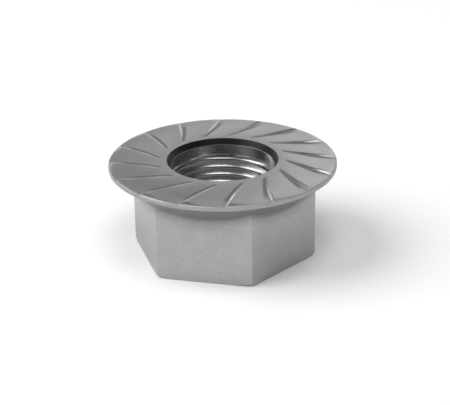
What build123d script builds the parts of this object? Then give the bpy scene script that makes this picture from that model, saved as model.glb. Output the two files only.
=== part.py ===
from build123d import *
from math import acos, atan2, cos, degrees, hypot, radians, sin, tan
import os

# Hexagon flange nut with a fine thread and a ratchet face, forged in one piece.
# The ratchet face is the bearing face of the flange: its teeth let the nut turn tight
# and bite against turning loose.
# The nut stands on the end of its hexagon with the ratchet face up.
# Origin: centre of the hexagon's end face. +Z runs to the ratchet face.
# One corner of the hexagon lies on +X. All sizes are in millimetres.

# ---- overall ----
nut_height = 7.65
width_across_flats = 12.85

# ---- end of the hexagon ----
end_circle_radius = 6.95      # flat circle left inside the end chamfer
end_chamfer_angle = 24.0      # slope of the chamfer from the end face, degrees

# ---- flange ----
flange_diameter = 17.9
rim_thickness = 0.42          # from the bearing plane to where the underside starts
rim_fall_width = 0.5          # outer band of the bearing face that falls off to the rim
rim_fall_depth = 0.08
rim_top_radius = 0.14
rim_under_radius = 0.10
underside_slope = 37.0        # cone under the flange, from the bearing plane, degrees
hexagon_blend_radius = 0.75   # hollow between the cone and the flats
hexagon_blend_sink = 0.03     # how far the hollow's foot lies inside the flats

# ---- bore ----
thread_major_diameter = 8.75  # the mouth just lets the screw's crests through
thread_depth = 0.295          # the smooth bore here is the thread's minor diameter
lead_in_depth = 0.45          # steep taper from the mouth to the bore, at both ends

# ---- ratchet face ----
tooth_count = 16
tooth_height = 0.13
plain_ring_width = 0.575      # smooth ring between the bore's mouth and the teeth
step_inner_angle = 33.3       # where the first step starts, from the +X corner, degrees
step_sweep = 18.9             # how far it leans clockwise on its way to the rim, degrees
step_arc_radius = 20.6        # bow of each step, seen from above
step_face_slope = 28.0        # each step's face, from the bearing plane, degrees

# ---- derived sizes ----
flat_radius = width_across_flats / 2
corner_radius = flat_radius / cos(radians(30))
flange_radius = flange_diameter / 2
bore_mouth_radius = thread_major_diameter / 2
minor_radius = bore_mouth_radius - thread_depth
ring_radius = bore_mouth_radius + plain_ring_width
tooth_angle = 360 / tooth_count
clearance = 0.5               # overrun of every cutting shape past the metal

# ---- underside of the flange: cone, then a hollow that turns down to the flats ----
slope = radians(underside_slope)
underside_start = Vector(flange_radius, nut_height - rim_thickness)
blend_foot_radius = flat_radius - hexagon_blend_sink
blend_tangent = hexagon_blend_radius * tan((radians(90) - slope) / 2)
blend_corner = Vector(
    blend_foot_radius,
    underside_start.Y - (flange_radius - blend_foot_radius) * tan(slope),
)
blend_foot = Vector(blend_corner.X, blend_corner.Y - blend_tangent)
blend_head = Vector(blend_corner.X + blend_tangent * cos(slope),
                    blend_corner.Y + blend_tangent * sin(slope))

# ---- one step of the ratchet: an arc in plan from the plain ring to past the rim ----
outer_radius = flange_radius + clearance
inner_end = Vector(ring_radius, 0).rotate(Axis.Z, step_inner_angle)
outer_end = Vector(outer_radius, 0).rotate(Axis.Z, step_inner_angle - step_sweep)
chord = outer_end - inner_end
half_chord = chord.length / 2
chord_side = Vector(-chord.Y, chord.X) / chord.length
arc_centre = (inner_end + outer_end) / 2 + chord_side * (
    step_arc_radius ** 2 - half_chord ** 2
) ** 0.5


def step_point(radius):
    """Point of the first step's arc at a distance from the nut's axis."""
    reach = hypot(arc_centre.X, arc_centre.Y)
    spread = acos((radius ** 2 + reach ** 2 - step_arc_radius ** 2) / (2 * radius * reach))
    angle = degrees(atan2(arc_centre.Y, arc_centre.X) - spread)
    return Vector(radius, 0).rotate(Axis.Z, angle)


# The space between one step and the next is a wedge: nothing deep at its own step,
# a whole tooth deep where it meets the face of the next one.
with BuildPart() as tooth_space:
    for radius in (ring_radius, (ring_radius + outer_radius) / 2, outer_radius):
        crest = step_point(radius)
        next_crest = crest.rotate(Axis.Z, tooth_angle)
        across = (next_crest - crest).normalized()
        width = (next_crest - crest).length
        section = Plane(
            origin=crest + Vector(0, 0, nut_height),
            x_dir=across,
            z_dir=across.cross(Vector(0, 0, 1)),
        )
        face_run = 1 / tan(radians(step_face_slope))
        with BuildSketch(section):
            with BuildLine():
                Polyline(
                    (0, 0),
                    (width - tooth_height * face_run, -tooth_height),
                    (width + clearance * face_run, clearance),
                    (0, clearance),
                    close=True,
                )
            make_face()
    loft()

with BuildPart() as flange_nut:
    # hexagon, its end turned down to the end chamfer
    with BuildSketch(Plane.XY):
        RegularPolygon(corner_radius, 6)
    extrude(amount=blend_head.Y)
    with BuildSketch(Plane.XZ):
        with BuildLine():
            Polyline(
                (0, 0),
                (end_circle_radius, 0),
                (
                    flange_radius,
                    (flange_radius - end_circle_radius) * tan(radians(end_chamfer_angle)),
                ),
                (flange_radius, nut_height),
                (0, nut_height),
                close=True,
            )
        make_face()
    revolve(axis=Axis.Z, mode=Mode.INTERSECT)

    # flange, from its rounded rim in to the hollow above the flats
    with BuildSketch(Plane.XZ):
        with BuildLine():
            rim_corner = (flange_radius, nut_height - rim_fall_depth)
            FilletPolyline(
                (flange_radius - rim_fall_width, nut_height),
                rim_corner,
                underside_start,
                blend_head,
                radius=[rim_top_radius, rim_under_radius],
            )
            TangentArc(blend_head, blend_foot, tangent=(blend_head - underside_start))
            Polyline(
                blend_foot,
                (0, blend_foot.Y),
                (0, nut_height),
                (flange_radius - rim_fall_width, nut_height),
            )
        make_face()
    revolve(axis=Axis.Z)

    # bore at the thread's minor diameter, with a lead-in at both ends
    with BuildSketch(Plane.XZ):
        with BuildLine():
            Polyline(
                (0, 0),
                (bore_mouth_radius, 0),
                (minor_radius, lead_in_depth),
                (minor_radius, nut_height - lead_in_depth),
                (bore_mouth_radius, nut_height),
                (0, nut_height),
                close=True,
            )
        make_face()
    revolve(axis=Axis.Z, mode=Mode.SUBTRACT)

    # ratchet teeth
    with PolarLocations(0, tooth_count):
        add(tooth_space.part, mode=Mode.SUBTRACT)

flange_nut.part.label = "flange_nut"

os.makedirs("parts", exist_ok=True)
export_step(flange_nut.part, "parts/flange_nut.step")
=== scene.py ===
import ast
import math

import bpy
from mathutils import Matrix, Vector


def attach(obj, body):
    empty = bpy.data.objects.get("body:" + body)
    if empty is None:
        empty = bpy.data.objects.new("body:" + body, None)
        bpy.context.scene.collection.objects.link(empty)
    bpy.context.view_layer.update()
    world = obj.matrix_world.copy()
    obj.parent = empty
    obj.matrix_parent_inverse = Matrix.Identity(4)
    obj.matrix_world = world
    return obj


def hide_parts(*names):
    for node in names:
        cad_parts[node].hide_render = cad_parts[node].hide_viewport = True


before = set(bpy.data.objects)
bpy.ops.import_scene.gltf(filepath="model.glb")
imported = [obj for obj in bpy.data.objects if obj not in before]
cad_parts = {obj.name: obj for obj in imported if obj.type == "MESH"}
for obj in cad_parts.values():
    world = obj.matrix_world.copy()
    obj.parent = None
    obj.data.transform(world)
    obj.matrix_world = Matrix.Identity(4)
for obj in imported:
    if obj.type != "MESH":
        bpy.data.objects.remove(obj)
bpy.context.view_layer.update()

mm = 0.001
mmPerMetre = 1000
fullTurn = 2 * math.pi


def linearColour(hexText):
    # sRGB hex to the linear values that nodes take
    values = [int(hexText[i:i + 2], 16) / 255 for i in (1, 3, 5)]
    linear = [v / 12.92 if v <= 0.04045 else ((v + 0.055) / 1.055) ** 2.4 for v in values]
    return (*linear, 1.0)


def addNode(tree, kind, inputs=None, **settings):
    node = tree.nodes.new(kind)
    for name, value in settings.items():
        setattr(node, name, value)
    for name, value in (inputs or {}).items():
        if isinstance(value, bpy.types.NodeSocket):
            tree.links.new(value, node.inputs[name])
        else:
            node.inputs[name].default_value = value
    return node


mathWords = {ast.Add: "ADD", ast.Sub: "SUBTRACT", ast.Mult: "MULTIPLY", ast.Div: "DIVIDE"}


def addFormula(tree, text, **terms):
    # writes a formula as Math nodes, with its function names as their operations
    def build(term):
        if isinstance(term, ast.Name):
            return terms[term.id]
        if isinstance(term, ast.Constant):
            return term.value
        if isinstance(term, ast.BinOp):
            word, parts = mathWords[type(term.op)], (term.left, term.right)
        else:
            word, parts = term.func.id.upper(), term.args
        inputs = {place: build(part) for place, part in enumerate(parts)}
        return addNode(tree, "ShaderNodeMath", inputs, operation=word).outputs[0]
    return build(ast.parse(text).body[0].value)


# lengths are in mm and angles in degrees, unless a note says otherwise
nut = {
    "height": 7.65,
    "acrossFlats": 12.85,
    "cornerRounding": 0.16,   # softness of the hexagon's corners
    "endCircle": 6.95,        # radius where the end chamfer meets the end face
    "endChamfer": 24.0,
    "chamferSoftness": 0.04,  # rounding where the end chamfer meets the flats
    "endEdge": 0.05,          # rounding between the end face and the flats
    "flangeRadius": 8.95,
    "rimThickness": 0.42,
    "rimFallWidth": 0.5,      # the bearing face falls off over this width inside the rim
    "rimFallDepth": 0.08,
    "rimTopRadius": 0.14,
    "rimUnderRadius": 0.10,
    "undersideSlope": 37.0,
    "undersideReach": 2.75,   # below the bearing face, where the underside's close rows end
    "hollow": 0.7,            # softness of the turn from the underside to the flats
    "mouthRadius": 4.375,
    "mouthEdge": 0.05,        # rounding of the mouth's edge
    "leadIn": 0.45,           # depth of the taper at each end of the bore
    "columns": 288,           # of the mesh, divides by both the teeth and the corners
    "cornerGather": 0.85,     # how closely the columns gather at a corner
    "weld": 0.0004,           # points closer than this are joined
    "sharpAngle": 17.0,       # past this an edge isn't smoothed
}
ratchet = {
    "teeth": 16,
    "height": 0.13,
    "softness": 0.02,         # rounding where the ramps run into the rim's fall-off
    "faceWidth": 0.245,       # width of a step's face at its inner end
    "rimFaceWidth": 0.15,     # and at the rim, where it is steepest
    "ringWidth": 0.575,       # plain ring between the mouth and the teeth
    "ringBlend": 0.08,        # how far inside the ring's edge the teeth begin to rise
    "fadeLength": 3.0,        # the teeth come to full depth over this length
    "innerAngle": 33.3,       # first step, from the corner on +X
    "sweep": 18.9,            # how far a step leans clockwise on its way out
    "bow": 20.6,              # radius of a step's arc in plan
    "overrun": 0.5,           # past the rim, as the arc is drawn
    "gather": 0.9,            # how closely the mesh columns gather at a step
    "firstColumn": 12,        # mesh column that lies on the first step
}
thread = {
    "minorRadius": 4.08,
    "majorRadius": 4.375,
    "pitch": 0.68,
    "top": 1.26,              # first groove, below the bearing face
    "runOut": 0.35,           # turns over which a groove comes to full depth
    "crest": 0.2,             # flat crest and sloping flank, in pitches
    "flank": 0.35,
    "edge": 0.07,             # rounding of a crest's edges, in pitches
}
# painted shade: a dark band in the crease beside each step's foot, and a dark shade in the hollow under
# the flange, where shade falls
paintedShade = {
    "bandWidth": 0.24,        # of painted shade beside a step's foot, to either side of its darkest line
    "bandStart": 0.3,         # from the step's foot to that line at the ring, in widths
    "bandDrift": 0.8,         # and how much further it lies from the foot at the rim
    "bandCore": 1.6,          # the larger this is, the more of the width is fully dark
    "bandShade": 0.75,        # 1 hides the metal
    "bandDepth": 0.2,         # below the bearing face, where a band ends
    "undersideShade": 0.5,
}

rowNames = ("radius", "height", "teeth", "corners", "side", "inset", "turn", "groove", "lean")


def arcPoints(corner, before, after, radius, steps):
    # round of the given radius where the line before-corner turns to corner-after
    inward = (before - corner).normalized()
    onward = (after - corner).normalized()
    half = inward.angle(onward) / 2
    start = corner + inward * radius / math.tan(half)
    centre = corner + (inward + onward).normalized() * radius / math.sin(half)
    first = start - centre
    end = corner + onward * radius / math.tan(half) - centre
    turn = first.angle(end)
    points = []
    for i in range(steps + 1):
        share = i / steps
        blend = first * math.sin((1 - share) * turn) + end * math.sin(share * turn)
        points.append(centre + blend / math.sin(turn))
    return points


def stepAngle(radius):
    # angle of the first step's arc at a distance from the axis
    inner = nut["mouthRadius"] + ratchet["ringWidth"]
    outer = nut["flangeRadius"] + ratchet["overrun"]
    start = math.radians(ratchet["innerAngle"])
    end = math.radians(ratchet["innerAngle"] - ratchet["sweep"])
    a = Vector((math.cos(start), math.sin(start))) * inner
    b = Vector((math.cos(end), math.sin(end))) * outer
    chord = b - a
    side = Vector((-chord.y, chord.x)).normalized()
    centre = (a + b) / 2 + side * math.sqrt(ratchet["bow"] ** 2 - (chord.length / 2) ** 2)
    reach = centre.length
    spread = (radius ** 2 + reach ** 2 - ratchet["bow"] ** 2) / (2 * radius * reach)
    return math.degrees(math.atan2(centre.y, centre.x) - math.acos(spread))


def threadSection():
    # one groove from crest to crest: place along the pitch and share of the full depth
    crest, flank, edge = thread["crest"], thread["flank"], thread["edge"]
    bend = 0.5 * edge / flank
    half = [
        (0, 0),
        (crest / 2 - edge / 2, 0),
        (crest / 2 + edge / 4, bend * 0.25),
        (crest / 2 + edge, bend * 2),
        (crest / 2 + flank / 2, 0.5),
        (crest / 2 + flank - edge, 1 - bend * 2),
        (crest / 2 + flank + edge / 2, 1),
    ]
    return half + [(1 - place, depth) for place, depth in reversed(half) if place > 0]


def profileRows():
    # the section of the nut, row by row, in the order of rowNames: teeth and corners say how far a
    # row's columns gather there, side rows take their radius from the tree, less their inset, turn and
    # groove place a row on the thread, and lean turns its columns to the steps' arcs
    rows = []
    mouth = nut["mouthRadius"]
    rim = nut["flangeRadius"]
    ringEnd = mouth + ratchet["ringWidth"]
    top = nut["height"]
    minor = thread["minorRadius"]
    sinkDepth = nut["leadIn"]
    mouthTeeth, sinkTeeth = 0.55, 0.2    # how far the columns gather at the steps there

    def addRow(radius, height, teeth=0.0, corners=0.0, side=0.0, inset=0.0, turn=-9.0, groove=0.0):
        lean = stepAngle(min(max(radius, ringEnd), rim))
        rows.append((radius, height, teeth, corners, side, inset, turn, groove, lean))

    # bearing face, from the bore's mouth to the fall-off at the rim
    sink = Vector((minor, top - sinkDepth))
    mouthCorner = Vector((mouth, top))
    fallStart = Vector((rim - nut["rimFallWidth"], top))
    for point in arcPoints(mouthCorner, sink, fallStart, nut["mouthEdge"], 3):
        addRow(point.x, point.y, teeth=mouthTeeth)
    for share in (0.25, 0.5, 0.75):
        addRow(mouth + ratchet["ringWidth"] * share, top, teeth=mouthTeeth + (1 - mouthTeeth) * share)
    faceRows = 20
    faceStart = ringEnd - ratchet["ringBlend"]
    for i in range(faceRows + 1):
        addRow(faceStart + (fallStart.x - faceStart) * i / faceRows, top, teeth=1.0)

    # rim
    slope = math.tan(math.radians(nut["undersideSlope"]))
    upper = Vector((rim, top - nut["rimFallDepth"]))
    lower = Vector((rim, top - nut["rimThickness"]))
    under = lower + Vector((-1, -slope))
    upperArc = arcPoints(upper, fallStart, lower, nut["rimTopRadius"], 8)
    lowerArc = arcPoints(lower, upper, under, nut["rimUnderRadius"], 6)
    fall = [fallStart.lerp(upperArc[0], i / 7) for i in range(1, 7)]
    for point in fall + upperArc + lowerArc:
        addRow(point.x, point.y, teeth=1.0)

    # underside and flats: heights only, the tree works out the radius
    start = lowerArc[-1].y
    end = top - nut["undersideReach"]
    undersideRows = 30
    turningRows = 14          # over these the columns change from the teeth to the corners
    for i in range(1, undersideRows + 1):
        share = min(1, i / turningRows)
        addRow(rim, start + (end - start) * i / undersideRows, teeth=1 - share, corners=share, side=1.0)
    for height in (4.2, 3.4, 2.6, 1.8, 1.1, 0.6, 0.4, 0.3, 0.24, 0.2, 0.16, 0.12, 0.08):
        addRow(rim, height, corners=1.0, side=1.0)
    edge = nut["endEdge"]
    for i in range(5):
        angle = math.radians(90 * i / 4)
        inset = edge * (1 - math.cos(angle))
        addRow(rim, edge * (1 - math.sin(angle)), corners=1.0, side=1.0, inset=inset)

    # end face and lower countersink
    lowerMouth = Vector((mouth, 0))
    lowerSink = Vector((minor, sinkDepth))
    outerFace = Vector((rim, 0))
    for share in (0.75, 0.5, 0.25):
        addRow(mouth, 0, corners=share, side=share)
    for point in arcPoints(lowerMouth, outerFace, lowerSink, nut["mouthEdge"], 3):
        addRow(point.x, point.y)
    for share in (0.33, 0.67, 1):
        point = lowerMouth.lerp(lowerSink, share)
        addRow(point.x, point.y)

    # thread, from its last turn up to its first
    threadTop = top - thread["top"]
    turns = (threadTop - sinkDepth) / thread["pitch"]
    groove = threadSection()
    places = [(whole + place, depth) for whole in range(int(turns) + 2) for place, depth in groove]
    for place, depth in reversed(places):
        if place <= turns + 1:
            addRow(minor, threadTop, turn=place, groove=depth)

    # smooth wall and upper countersink
    for share in (0.33, 0.67):
        addRow(minor, threadTop + (thread["top"] - sinkDepth) * share)
    for share in (0, 0.25, 0.5, 0.75):
        point = sink.lerp(mouthCorner, share)
        addRow(point.x, point.y, teeth=sinkTeeth + (mouthTeeth - sinkTeeth) * share)
    rows.append(rows[0])
    return rows, turns


def buildNutTree(material, values):
    tree = bpy.data.node_groups.new("nutForging", "GeometryNodeTree")
    tree.is_modifier = True
    interface = tree.interface
    interface.new_socket("Geometry", in_out="INPUT", socket_type="NodeSocketGeometry")
    interface.new_socket("Geometry", in_out="OUTPUT", socket_type="NodeSocketGeometry")
    for name in values:
        interface.new_socket(name, in_out="INPUT", socket_type="NodeSocketFloat")
    group = addNode(tree, "NodeGroupInput")
    size = {name: group.outputs[name] for name in values}

    # a grid of columns round the nut and rows along its section
    columns = addFormula(tree, "c + 1", c=size["Columns"])
    grid = addNode(tree, "GeometryNodeMeshGrid",
                   {"Vertices X": columns, "Vertices Y": size["Rows"]}).outputs["Mesh"]
    index = addNode(tree, "GeometryNodeInputIndex").outputs[0]
    column = addFormula(tree, "floor((i + 0.5) / n)", i=index, n=size["Rows"])
    row = addFormula(tree, "i - c * n", i=index, c=column, n=size["Rows"])

    def rowValue(name):
        field = addNode(tree, "GeometryNodeInputNamedAttribute", {"Name": name}, data_type="FLOAT")
        sample = addNode(tree, "GeometryNodeSampleIndex",
                         {"Geometry": group.outputs["Geometry"], "Value": field.outputs["Attribute"],
                          "Index": row}, data_type="FLOAT", domain="POINT")
        return sample.outputs[0]

    section = {name: rowValue(name) for name in rowNames}

    # angle of each column: even, gathered at the steps, or gathered at the six corners
    even = addFormula(tree, "c / n", c=column, n=size["Columns"])
    tooth = addFormula(tree, "(u - f / n) * t", u=even, f=size["First Column"], n=size["Columns"],
                       t=size["Teeth"])
    toothGathered = addFormula(tree, "x - g * sine(x * turn) / turn", x=tooth, g=size["Step Gather"],
                               turn=fullTurn)
    toothAngle = addFormula(tree, "x * 360 / t + lean", x=toothGathered, t=size["Teeth"],
                            lean=section["lean"])
    cornerAngle = addFormula(tree, "u * 360 - g * sine(u * 6 * turn) / turn * 60", u=even,
                             g=size["Corner Gather"], turn=fullTurn)
    angle = addFormula(tree, "u * 360 + a * (tooth - u * 360) + b * (corner - u * 360)",
                       u=even, a=section["teeth"], b=section["corners"], tooth=toothAngle,
                       corner=cornerAngle)

    # flats 60 degrees apart, chamfered end and the underside of the flange
    swing = addFormula(tree, "absolute(x / 60 - round(x / 60)) * 60", x=angle)
    flat = addFormula(
        tree,
        "smooth_min(r / cosine(radians(30 - a)), r / cosine(radians(30 + a)), k)",
        r=size["Flat Radius"], a=swing, k=size["Corner Rounding"])
    chamfered = addFormula(tree, "smooth_min(flat, e + z / s, k)", flat=flat, e=size["End Circle"],
                           z=section["height"], s=size["End Slope"], k=size["Chamfer Softness"])
    cone = addFormula(tree, "r - (u - z) / s", r=size["Flange Radius"], u=size["Underside Height"],
                      z=section["height"], s=size["Underside Slope"])
    outline = addFormula(tree, "smooth_max(c, cone, k)", c=chamfered, cone=cone, k=size["Hollow"])

    # thread: each row climbs one pitch in a turn, to the right
    along = addFormula(tree, "minimum(maximum(q - u, 0), n)", q=section["turn"], u=even,
                       n=size["Turns"])
    fade = addNode(tree, "ShaderNodeMapRange",
                   {"Value": addFormula(tree, "minimum(p, n - p)", p=along, n=size["Turns"]),
                    "From Min": 0.0, "From Max": size["Run Out"]},
                   interpolation_type="SMOOTHSTEP").outputs["Result"]
    isThread = addFormula(tree, "greater_than(q + 1, 0)", q=section["turn"])
    threadHeight = addFormula(tree, "top - p * pitch", top=size["Thread Top"], p=along,
                              pitch=size["Pitch"])

    radius = addFormula(tree, "r + side * (o - r) - inset + on * depth * g * f", r=section["radius"],
                        side=section["side"], o=outline, inset=section["inset"], on=isThread,
                        depth=size["Thread Depth"], g=section["groove"], f=fade)
    plainHeight = addFormula(tree, "z + on * (h - z)", z=section["height"], on=isThread,
                             h=threadHeight)

    # ratchet: each tooth slopes down to the foot of the next step
    inTooth = addFormula(tree, "x - round(x)", x=toothGathered)
    outward = addFormula(tree, "minimum(maximum((r - a) / (b - a), 0), 1)", r=radius,
                         a=size["Ring Edge"], b=size["Flange Radius"])
    faceWidth = addFormula(tree, "a + (b - a) * o", a=size["Face Width"], b=size["Rim Face Width"],
                           o=outward)
    half = addFormula(tree, "w * t / r / (2 * turn)", w=faceWidth, t=size["Teeth"], r=radius,
                      turn=fullTurn)
    climb = addNode(tree, "ShaderNodeMapRange",
                    {"Value": inTooth, "From Min": addFormula(tree, "0 - h", h=half), "From Max": half}
                    ).outputs["Result"]
    rise = addNode(tree, "ShaderNodeMapRange",
                   {"Value": radius, "From Min": size["Ring Edge"],
                    "From Max": addFormula(tree, "a + b", a=size["Ring Edge"], b=size["Ring Fade"])}
                   ).outputs["Result"]
    toothTop = addFormula(tree, "top - h * (x + 1 - climb) * rise", top=size["Bearing Height"],
                          h=size["Tooth Height"], x=inTooth, climb=climb, rise=rise)
    height = addFormula(tree, "smooth_min(z, t, k)", z=plainHeight, t=toothTop,
                        k=size["Tooth Softness"])

    place = addNode(tree, "ShaderNodeCombineXYZ", {
        "X": addFormula(tree, "r * cosine(radians(a))", r=radius, a=angle),
        "Y": addFormula(tree, "r * sine(radians(a))", r=radius, a=angle),
        "Z": height}).outputs[0]
    shaped = addNode(tree, "GeometryNodeSetPosition", {"Geometry": grid, "Position": place})

    # painted shade: a dark band in the crease beside the foot of each step, which starts outside the
    # plain ring and thins to a tenth between 0.68 and 0.89 of the way out, and a painted shade in the
    # hollow under the flange
    fromBand = addFormula(tree, "absolute((x + h) * r / t * turn + w * (start + o * drift)) / w",
                          x=inTooth, h=half, r=radius, t=size["Teeth"], turn=fullTurn, o=outward,
                          w=size["Band Width"], start=size["Band Start"], drift=size["Band Drift"])
    band = addFormula(tree, "minimum(maximum(k - d * k, 0), 1)", d=fromBand, k=size["Band Core"])
    thinning = addFormula(tree, "minimum(o * 20, 1) * minimum(maximum(4 - o * 4.4, 0.1), 1)",
                          o=outward)
    onFace = addFormula(tree, "(1 - side) * greater_than(z, top - d)", side=section["side"],
                        z=height, top=size["Bearing Height"], d=size["Band Depth"])
    hollow = addNode(tree, "ShaderNodeMapRange",
                     {"Value": addFormula(tree, "cone - c", cone=cone, c=chamfered),
                      "From Min": -1.5, "From Max": 0.5, "To Max": size["Underside Shade"]},
                     interpolation_type="SMOOTHSTEP").outputs["Result"]
    underFlange = addFormula(tree, "side * greater_than(b, z)", side=section["side"],
                             b=size["Underside Height"], z=section["height"])
    shadeMask = addFormula(tree, "maximum(band * thin * face * shade, hollow * under)", band=band,
                      thin=thinning, face=onFace, shade=size["Band Shade"], hollow=hollow,
                      under=underFlange)
    shadeStored = addNode(tree, "GeometryNodeStoreNamedAttribute",
                     {"Geometry": shaped.outputs[0], "Name": "shadeMask", "Value": shadeMask},
                     data_type="FLOAT", domain="POINT")

    # the grid's first and last columns and rows are joined, and its faces turned to point outwards
    welded = addNode(tree, "GeometryNodeMergeByDistance",
                     {"Geometry": shadeStored.outputs[0], "Distance": size["Weld"]})
    outwards = addNode(tree, "GeometryNodeFlipFaces", {"Mesh": welded.outputs[0]})
    scaled = addNode(tree, "GeometryNodeTransform",
                     {"Geometry": outwards.outputs[0], "Scale": (mm, mm, mm)})
    smooth = addNode(tree, "GeometryNodeSetShadeSmooth", {"Geometry": scaled.outputs[0]})
    real = addNode(tree, "GeometryNodeRealizeInstances", {"Geometry": smooth.outputs[0]})
    finished = addNode(tree, "GeometryNodeSetMaterial",
                       {"Geometry": real.outputs[0], "Material": material})
    addNode(tree, "NodeGroupOutput", {"Geometry": finished.outputs[0]})
    return tree


def makeNut(material):
    rows, turns = profileRows()
    section = bpy.data.meshes.new("nutSection")
    section.from_pydata([(row[0], 0, row[1]) for row in rows], [], [])
    for place, name in enumerate(rowNames):
        layer = section.attributes.new(name, "FLOAT", "POINT")
        layer.data.foreach_set("value", [row[place] for row in rows])
    carrier = bpy.data.objects.new("nutSection", section)
    bpy.context.collection.objects.link(carrier)
    print("section of", len(rows), "rows and", round(turns, 2), "turns of thread")

    values = {
        "Columns": nut["columns"],
        "Rows": len(rows),
        "Teeth": ratchet["teeth"],
        "Tooth Height": ratchet["height"],
        "Tooth Softness": ratchet["softness"],
        "Face Width": ratchet["faceWidth"],
        "Rim Face Width": ratchet["rimFaceWidth"],
        "Step Gather": ratchet["gather"],
        "First Column": ratchet["firstColumn"],
        "Ring Edge": nut["mouthRadius"] + ratchet["ringWidth"] - ratchet["ringBlend"],
        "Ring Fade": ratchet["fadeLength"],
        "Bearing Height": nut["height"],
        "Flat Radius": nut["acrossFlats"] / 2,
        "Corner Rounding": nut["cornerRounding"],
        "Corner Gather": nut["cornerGather"],
        "End Circle": nut["endCircle"],
        "End Slope": math.tan(math.radians(nut["endChamfer"])),
        "Chamfer Softness": nut["chamferSoftness"],
        "Flange Radius": nut["flangeRadius"],
        "Underside Height": nut["height"] - nut["rimThickness"],
        "Underside Slope": math.tan(math.radians(nut["undersideSlope"])),
        "Underside Shade": paintedShade["undersideShade"],
        "Hollow": nut["hollow"],
        "Thread Top": nut["height"] - thread["top"],
        "Pitch": thread["pitch"],
        "Turns": turns,
        "Thread Depth": thread["majorRadius"] - thread["minorRadius"],
        "Run Out": thread["runOut"],
        "Band Width": paintedShade["bandWidth"],
        "Band Start": paintedShade["bandStart"],
        "Band Drift": paintedShade["bandDrift"],
        "Band Core": paintedShade["bandCore"],
        "Band Shade": paintedShade["bandShade"],
        "Band Depth": paintedShade["bandDepth"],
        "Weld": nut["weld"],
    }
    tree = buildNutTree(material, values)
    modifier = carrier.modifiers.new("forging", "NODES")
    modifier.node_group = tree
    for item in tree.interface.items_tree:
        if item.in_out == "INPUT" and item.name in values:
            modifier[item.identifier] = float(values[item.name])
    bpy.context.view_layer.update()
    evaluated = carrier.evaluated_get(bpy.context.evaluated_depsgraph_get())
    mesh = bpy.data.meshes.new_from_object(evaluated)
    mesh.name = "flangeNut"
    mesh.set_sharp_from_angle(angle=math.radians(nut["sharpAngle"]))
    bpy.data.objects.remove(carrier)
    piece = bpy.data.objects.new("flangeNut", mesh)
    bpy.context.collection.objects.link(piece)
    return piece


steel = {
    "plating": "#a1a1a1",     # darker and lighter grains of the plating
    "platingLight": "#acacac",
    "cutMetalPaintedLight": "#b9b9b9",    # the tapped bore's cut metal, with painted light: lighter than the plated skin to offset the shade inside the bore
    # painted shade: near-black on the upper lead-in, beside the steps' feet and in the hollow under the
    # flange
    "oil": "#0e0e0e",
    "roughness": 0.36,
    "unevenness": 0.25,       # how much the grain changes the roughness
    "cutPolish": 0.12,        # how much smoother the bore is, where it was cut
    "rimWear": 0.24,          # how much duller the rim is, where nuts rub together
    "rimWearStart": 0.22,     # mm inside the rim, where the wear begins
    "rimWearFull": 0.06,      # and where it is full
    "grain": 0.28,            # mm, size of the forged skin's grain
    "grainDepth": 0.007,      # mm
    "grainContrast": 2.6,     # how strongly the grain moves the colour between the two platings
    "patch": 1.6,             # mm, size of the skin's paler patches
    "patchContrast": 1.2,
    "boreEdge": 0.025,        # mm outside the mouth, where the cut metal ends
    "boreBlend": 0.01,        # mm to either side of that edge
    "leadInBlend": 0.03,      # mm to either side of the lower edge of the lead-in's painted shade
    "leadInShade": 0.97,        # how much of the lead-in's metal the painted shade hides
    "shadeDullness": 0.2,       # how much rougher the painted shade is
    "shadeCover": 0.9,         # how much metal sheen the painted shade takes away
}


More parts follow.
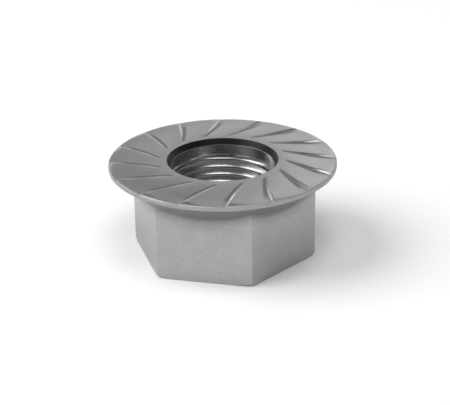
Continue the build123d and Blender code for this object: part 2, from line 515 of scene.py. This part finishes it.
def makeSteel():
    # cold-forged steel with bright zinc plating: an even satin grey, with painted shade, near-black, on
    # the upper lead-in, beside the steps' feet and under the flange
    material = bpy.data.materials.new("zincPlatedForgedSteel")
    material.use_nodes = True
    tree = material.node_tree
    shader = tree.nodes["Principled BSDF"]
    place = addNode(tree, "ShaderNodeTexCoord").outputs["Object"]
    split = addNode(tree, "ShaderNodeSeparateXYZ", {"Vector": place}).outputs
    radius = addFormula(tree, "sqrt(x * x + y * y) * k", x=split["X"], y=split["Y"], k=mmPerMetre)
    height = addFormula(tree, "z * k", z=split["Z"], k=mmPerMetre)

    # where the metal is cut, painted with shade, or worn
    boreEdge = nut["mouthRadius"] + steel["boreEdge"]
    inside = addNode(tree, "ShaderNodeMapRange",
                     {"Value": radius, "From Min": boreEdge + steel["boreBlend"],
                      "From Max": boreEdge - steel["boreBlend"]}).outputs["Result"]
    leadInFoot = nut["height"] - nut["leadIn"]
    high = addNode(tree, "ShaderNodeMapRange",
                   {"Value": height, "From Min": leadInFoot - steel["leadInBlend"],
                    "From Max": leadInFoot + steel["leadInBlend"]}).outputs["Result"]
    shadeMask = addNode(tree, "ShaderNodeAttribute", attribute_name="shadeMask").outputs["Fac"]
    # painted shade: the upper lead-in near-black, together with the step bands and the hollow's shade
    # from the nut's tree
    shadeAmount = addFormula(tree, "maximum(i * h * k, d)", i=inside, h=high, k=steel["leadInShade"], d=shadeMask)
    worn = addNode(tree, "ShaderNodeMapRange",
                   {"Value": radius, "From Min": nut["flangeRadius"] - steel["rimWearStart"],
                    "From Max": nut["flangeRadius"] - steel["rimWearFull"]}).outputs["Result"]

    # colour
    grain = addNode(tree, "ShaderNodeTexNoise",
                    {"Vector": place, "Scale": mmPerMetre / steel["grain"], "Detail": 3.0,
                     "Roughness": 0.7}).outputs["Fac"]
    patch = addNode(tree, "ShaderNodeTexNoise",
                    {"Vector": place, "Scale": mmPerMetre / steel["patch"], "Detail": 2.0}
                    ).outputs["Fac"]
    tone = addFormula(tree, "minimum(maximum((g - 0.5) * a + (p - 0.5) * b + 0.5, 0), 1)", g=grain,
                      a=steel["grainContrast"], p=patch, b=steel["patchContrast"])
    plated = addNode(tree, "ShaderNodeMix",
                     {"Factor": tone, "A": linearColour(steel["plating"]),
                      "B": linearColour(steel["platingLight"])}, data_type="RGBA").outputs["Result"]
    # the bore's cut metal, partly painted light: lighter to offset the shade inside the bore
    cut = addNode(tree, "ShaderNodeMix",
                  {"Factor": inside, "A": plated, "B": linearColour(steel["cutMetalPaintedLight"])},
                  data_type="RGBA").outputs["Result"]
    colour = addNode(tree, "ShaderNodeMix",
                     {"Factor": shadeAmount, "A": cut, "B": linearColour(steel["oil"])}, data_type="RGBA")
    tree.links.new(colour.outputs["Result"], shader.inputs["Base Color"])

    # sheen and grain, which the cut bore doesn't have
    rough = addFormula(tree, "r + (g - 0.5) * v * (1 - i) - i * cut + d * oil + e * wear",
                       r=steel["roughness"], g=grain, v=steel["unevenness"], i=inside,
                       cut=steel["cutPolish"], d=shadeAmount, oil=steel["shadeDullness"], e=worn,
                       wear=steel["rimWear"])
    tree.links.new(rough, shader.inputs["Roughness"])
    # painted shade also takes away the metal's sheen
    metallic = addFormula(tree, "1 - d * k", d=shadeMask, k=steel["shadeCover"])
    tree.links.new(metallic, shader.inputs["Metallic"])
    bump = addNode(tree, "ShaderNodeBump",
                   {"Height": addFormula(tree, "g * (1 - i)", g=grain, i=inside),
                    "Distance": steel["grainDepth"] * mm, "Strength": 1.0})
    tree.links.new(bump.outputs["Normal"], shader.inputs["Normal"])
    print("steel of", len(tree.nodes), "nodes")
    return material


flangeNut = makeNut(makeSteel())
print("nut", len(flangeNut.data.vertices), "points", len(flangeNut.data.polygons), "faces")
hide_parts("flange_nut")
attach(flangeNut, "root")

studio = {
    "floorSize": 4.0,         # metres
    "floorColour": "#fafafa",
    "floorRoughness": 0.9,
    "skyWhite": 0.02,         # heights of the sky, as the sine of the elevation
    "skyDark": 0.7,
    "skyBrightness": 1.4,
    "zenithBrightness": 0.08,
    "lampAim": 5.0,           # mm above the floor, where the lamps point
}


def makeFloor():
    # board with flat matt paint: near-white, with no shine of its own
    half = studio["floorSize"] / 2
    corners = [(-half, -half, 0), (half, -half, 0), (half, half, 0), (-half, half, 0)]
    mesh = bpy.data.meshes.new("studioFloor")
    mesh.from_pydata(corners, [], [(0, 1, 2, 3)])
    floor = bpy.data.objects.new("studioFloor", mesh)
    bpy.context.collection.objects.link(floor)
    material = bpy.data.materials.new("paintedFloor")
    material.use_nodes = True
    shader = material.node_tree.nodes["Principled BSDF"]
    shader.inputs["Base Color"].default_value = linearColour(studio["floorColour"])
    shader.inputs["Roughness"].default_value = studio["floorRoughness"]
    shader.inputs["Specular IOR Level"].default_value = 0.0
    mesh.materials.append(material)


def makeWorld():
    # bright at the horizon and dark overhead
    world = bpy.data.worlds.new("studioSky")
    bpy.context.scene.world = world
    world.use_nodes = True
    tree = world.node_tree
    place = addNode(tree, "ShaderNodeTexCoord").outputs["Generated"]
    height = addNode(tree, "ShaderNodeSeparateXYZ", {"Vector": place}).outputs["Z"]
    fall = addNode(tree, "ShaderNodeMapRange",
                   {"Value": height, "From Min": studio["skyWhite"], "From Max": studio["skyDark"],
                    "To Min": studio["skyBrightness"], "To Max": studio["zenithBrightness"]},
                   interpolation_type="SMOOTHSTEP").outputs["Result"]
    tree.links.new(fall, tree.nodes["Background"].inputs["Strength"])
    tree.nodes["Background"].inputs["Color"].default_value = (1, 1, 1, 1)


lamps = {
    # azimuth and elevation in degrees, distance and size in metres, brightness 1 is white
    "keyLamp": {"azimuth": -70, "elevation": 47, "distance": 0.5, "size": 0.4, "brightness": 4.6},
    "backCard": {"azimuth": 172, "elevation": 31, "distance": 0.3, "size": 0.15, "brightness": 1.1},
    "horizonCard": {"azimuth": -147, "elevation": 9, "distance": 0.4, "size": 0.1, "brightness": 3.4},
    "topLamp": {"azimuth": 37, "elevation": 72, "distance": 0.5, "size": 0.3, "brightness": 4.2},
}


def directionTo(azimuth, elevation):
    # azimuth 0 is in front and 90 on the right
    a, e = math.radians(azimuth), math.radians(elevation)
    return Vector((math.sin(a) * math.cos(e), -math.cos(a) * math.cos(e), math.sin(e)))


def makeLamp(name, lamp):
    way = directionTo(lamp["azimuth"], lamp["elevation"])
    data = bpy.data.lights.new(name, "AREA")
    data.shape = "DISK"
    data.size = lamp["size"]
    data.energy = lamp["brightness"] * math.pi * math.pi * lamp["size"] ** 2 / 4
    item = bpy.data.objects.new(name, data)
    item.location = Vector((0, 0, studio["lampAim"] * mm)) + way * lamp["distance"]
    item.rotation_euler = way.to_track_quat("Z", "Y").to_euler()
    item.visible_camera = False
    bpy.context.collection.objects.link(item)


makeFloor()
makeWorld()
for name, lamp in lamps.items():
    makeLamp(name, lamp)
print("floor, sky and", len(lamps), "lamps set")

view = {
    "azimuth": 13.66,         # degrees, from straight in front
    "elevation": 22.55,
    "distance": 106.8,        # mm, to the centre of the bearing face
    "lens": 108.98,
    "clipStart": 5.0,         # mm
    "tiltDown": 1.84,         # the nut sits a little above the middle of the frame
    "turn": 0.08,
    "roll": 0.92,
}


def makeCamera():
    way = directionTo(view["azimuth"], view["elevation"])
    data = bpy.data.cameras.new("camera")
    data.lens = view["lens"]
    data.clip_start = view["clipStart"] * mm
    camera = bpy.data.objects.new("camera", data)
    camera.location = Vector((0, 0, nut["height"] * mm)) + way * view["distance"] * mm
    heading = Matrix.Rotation(math.radians(view["azimuth"] - view["turn"]), 3, "Z")
    pitch = Matrix.Rotation(math.radians(90 - view["elevation"] - view["tiltDown"]), 3, "X")
    roll = Matrix.Rotation(-math.radians(view["roll"]), 3, "Z")
    camera.rotation_euler = (heading @ pitch @ roll).to_euler()
    bpy.context.collection.objects.link(camera)
    bpy.context.scene.camera = camera


makeCamera()
bpy.context.scene.view_settings.view_transform = "Standard"
print("camera set")
